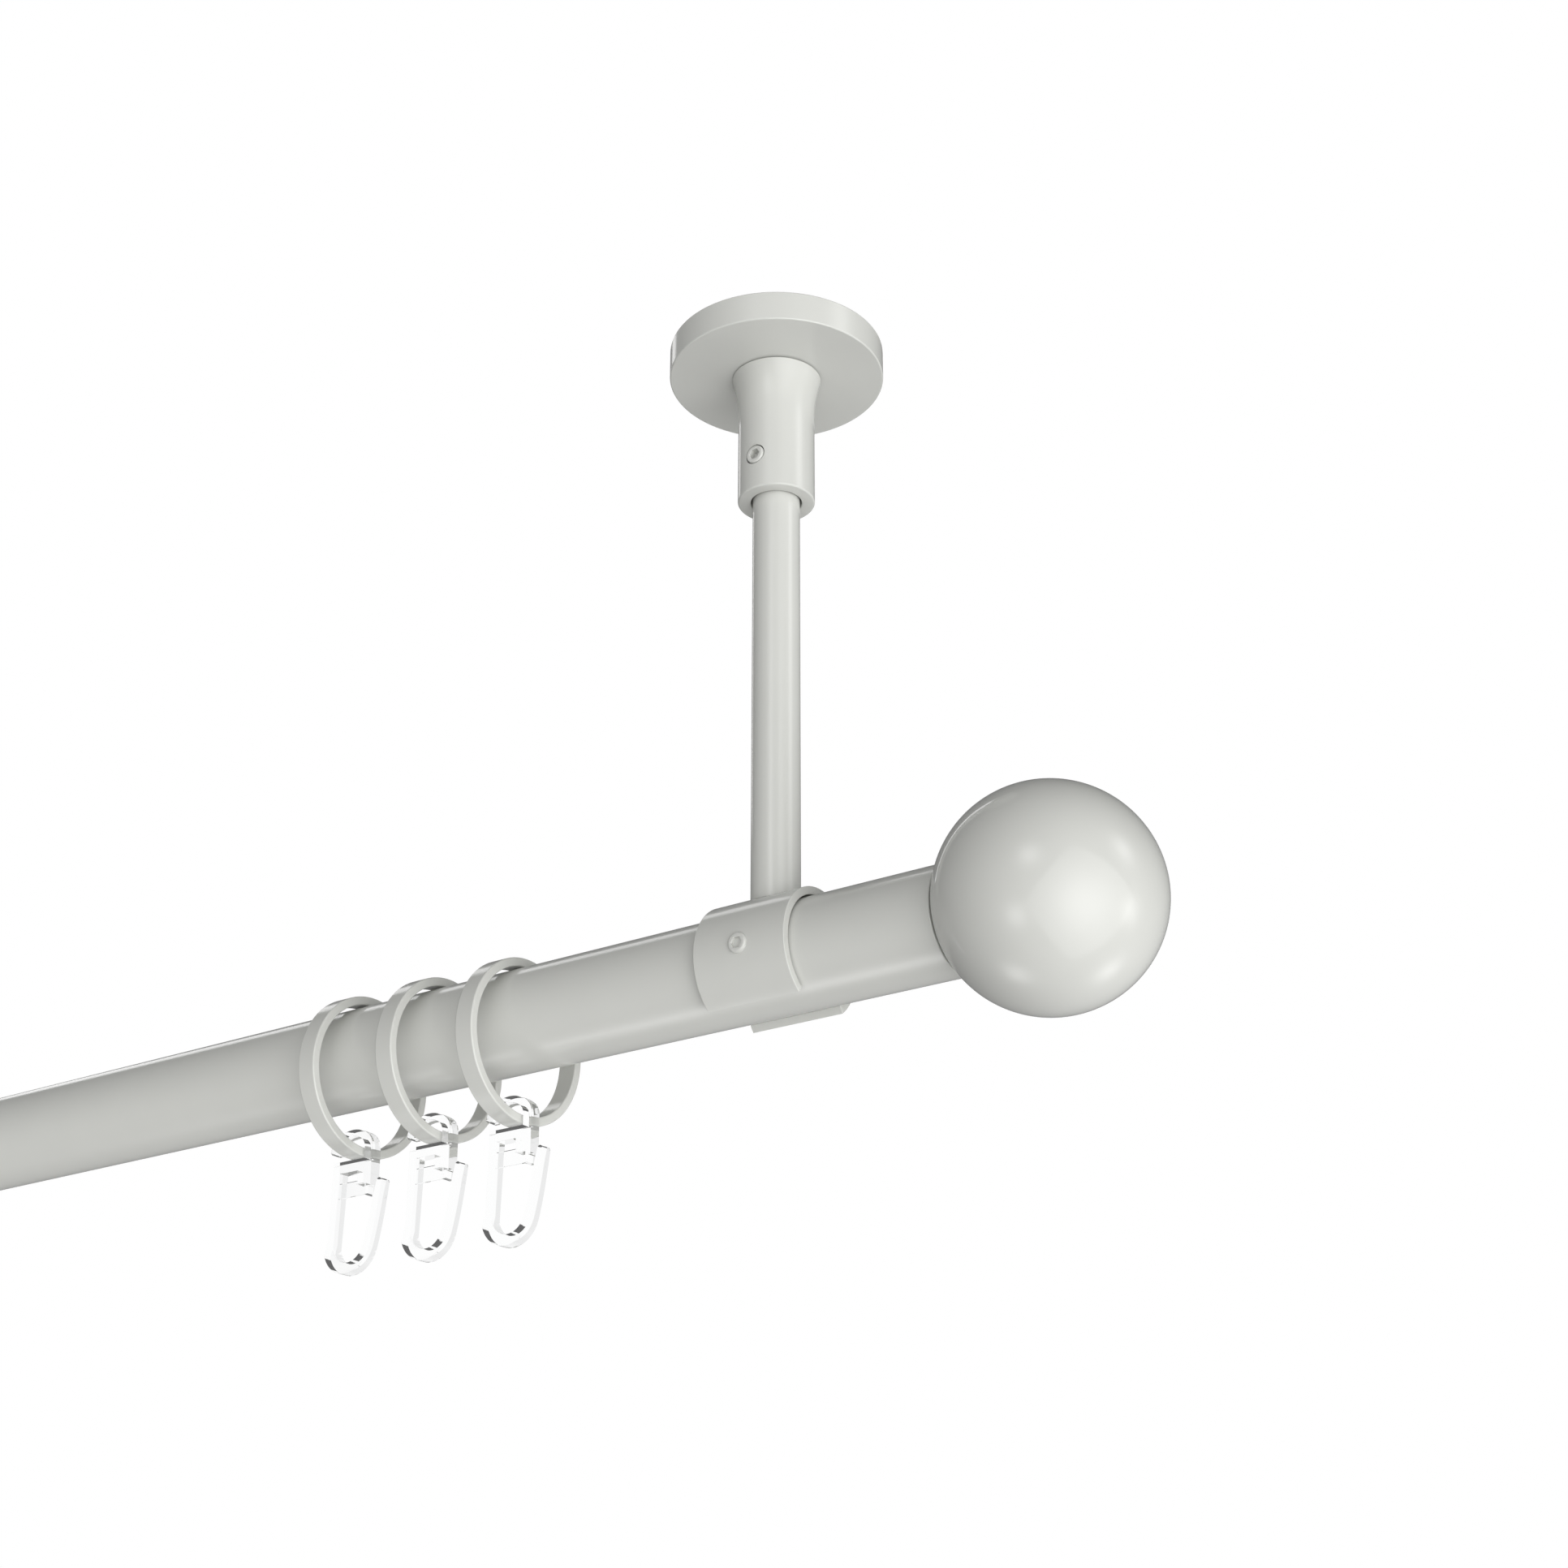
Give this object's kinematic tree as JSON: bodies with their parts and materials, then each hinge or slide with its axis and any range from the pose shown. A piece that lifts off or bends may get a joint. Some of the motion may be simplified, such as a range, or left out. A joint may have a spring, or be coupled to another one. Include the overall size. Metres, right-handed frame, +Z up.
{
  "type": "curtain rod with brackets",
  "caption": "Ceiling-mounted round curtain rod with two drop brackets, ball finials, and sliding rings with clear pleat hooks.",
  "frame": {"origin": "centre of the right bracket's ceiling face, on the ceiling plane and on the axis of its drop tube", "axes": "+X along the rod towards the right finial, +Y away from the viewer through the rod, +Z up into the ceiling; everything hangs below z = 0"},
  "size_m": [1.0752, 0.0426, 0.1727],
  "materials": {
    "lacquered_metal": "light warm-grey lacquer, satin with a soft gloss",
    "gloss_lacquer": "the same light warm grey, glossier",
    "clear_plastic": "clear moulded plastic, polished",
    "grey_nylon": "matt moulded nylon, hidden inside the rod",
    "bare_steel": "zinc-plated steel, hidden inside the fittings"
  },
  "bodies": {
    "ceiling_mounts": {"ceiling_plate_right": "bare_steel", "rosette_right": "lacquered_metal", "collar_right": "lacquered_metal", "collar_grub_screw_right": "lacquered_metal", "ceiling_plate_left": "bare_steel", "rosette_left": "lacquered_metal", "collar_left": "lacquered_metal", "collar_grub_screw_left": "lacquered_metal"},
    "hanger": {"drop_tube_right": "lacquered_metal", "tube_insert_right": "bare_steel", "saddle_right": "lacquered_metal", "saddle_screw_right": "bare_steel", "saddle_grub_screw_right": "lacquered_metal", "drop_tube_left": "lacquered_metal", "tube_insert_left": "bare_steel", "saddle_left": "lacquered_metal", "saddle_screw_left": "bare_steel", "saddle_grub_screw_left": "lacquered_metal"},
    "rod": {"rod_tube": "lacquered_metal"},
    "finial_right": {"finial_ball_right": "gloss_lacquer", "finial_plug_right": "grey_nylon", "finial_screw_right": "bare_steel"},
    "finial_left": {"finial_ball_left": "gloss_lacquer", "finial_plug_left": "grey_nylon", "finial_screw_left": "bare_steel"},
    "curtain_ring_1": {"ring_1": "lacquered_metal"},
    "pleat_hook_1": {"hook_1": "clear_plastic"},
    "curtain_ring_2": {"ring_2": "lacquered_metal"},
    "pleat_hook_2": {"hook_2": "clear_plastic"},
    "curtain_ring_3": {"ring_3": "lacquered_metal"},
    "pleat_hook_3": {"hook_3": "clear_plastic"}
  },
  "joints": [
    {"name": "hanger_height", "type": "slide", "parent": "ceiling_mounts", "child": "hanger", "axis": [0, 0, 1], "range_m": [-0.005, 0.005]},
    {"name": "rod_shift", "type": "slide", "parent": "hanger", "child": "rod", "axis": [1, 0, 0], "range_m": [-0.025, 0.025]},
    {"name": "finial_right_pull", "type": "slide", "parent": "rod", "child": "finial_right", "axis": [1, 0, 0], "range_m": [0, 0.03]},
    {"name": "finial_left_pull", "type": "slide", "parent": "rod", "child": "finial_left", "axis": [-1, 0, 0], "range_m": [0, 0.03]},
    {"name": "ring_1_slide", "type": "slide", "parent": "rod", "child": "curtain_ring_1", "axis": [1, 0, 0], "range_m": [-0.005, 0.02]},
    {"name": "ring_2_slide", "type": "slide", "parent": "rod", "child": "curtain_ring_2", "axis": [1, 0, 0], "range_m": [-0.005, 0.005]},
    {"name": "ring_3_slide", "type": "slide", "parent": "rod", "child": "curtain_ring_3", "axis": [1, 0, 0], "range_m": [-0.785, 0.005]},
    {"name": "hook_1_swing", "type": "hinge", "parent": "curtain_ring_1", "child": "pleat_hook_1", "pos_m": [-0.059, 0, -0.1336], "axis": [1, 0, 0], "range_deg": [-60, 60]},
    {"name": "hook_2_swing", "type": "hinge", "parent": "curtain_ring_2", "child": "pleat_hook_2", "pos_m": [-0.079, 0, -0.1336], "axis": [1, 0, 0], "range_deg": [-60, 60]},
    {"name": "hook_3_swing", "type": "hinge", "parent": "curtain_ring_3", "child": "pleat_hook_3", "pos_m": [-0.099, 0, -0.1336], "axis": [1, 0, 0], "range_deg": [-60, 60]}
  ]
}
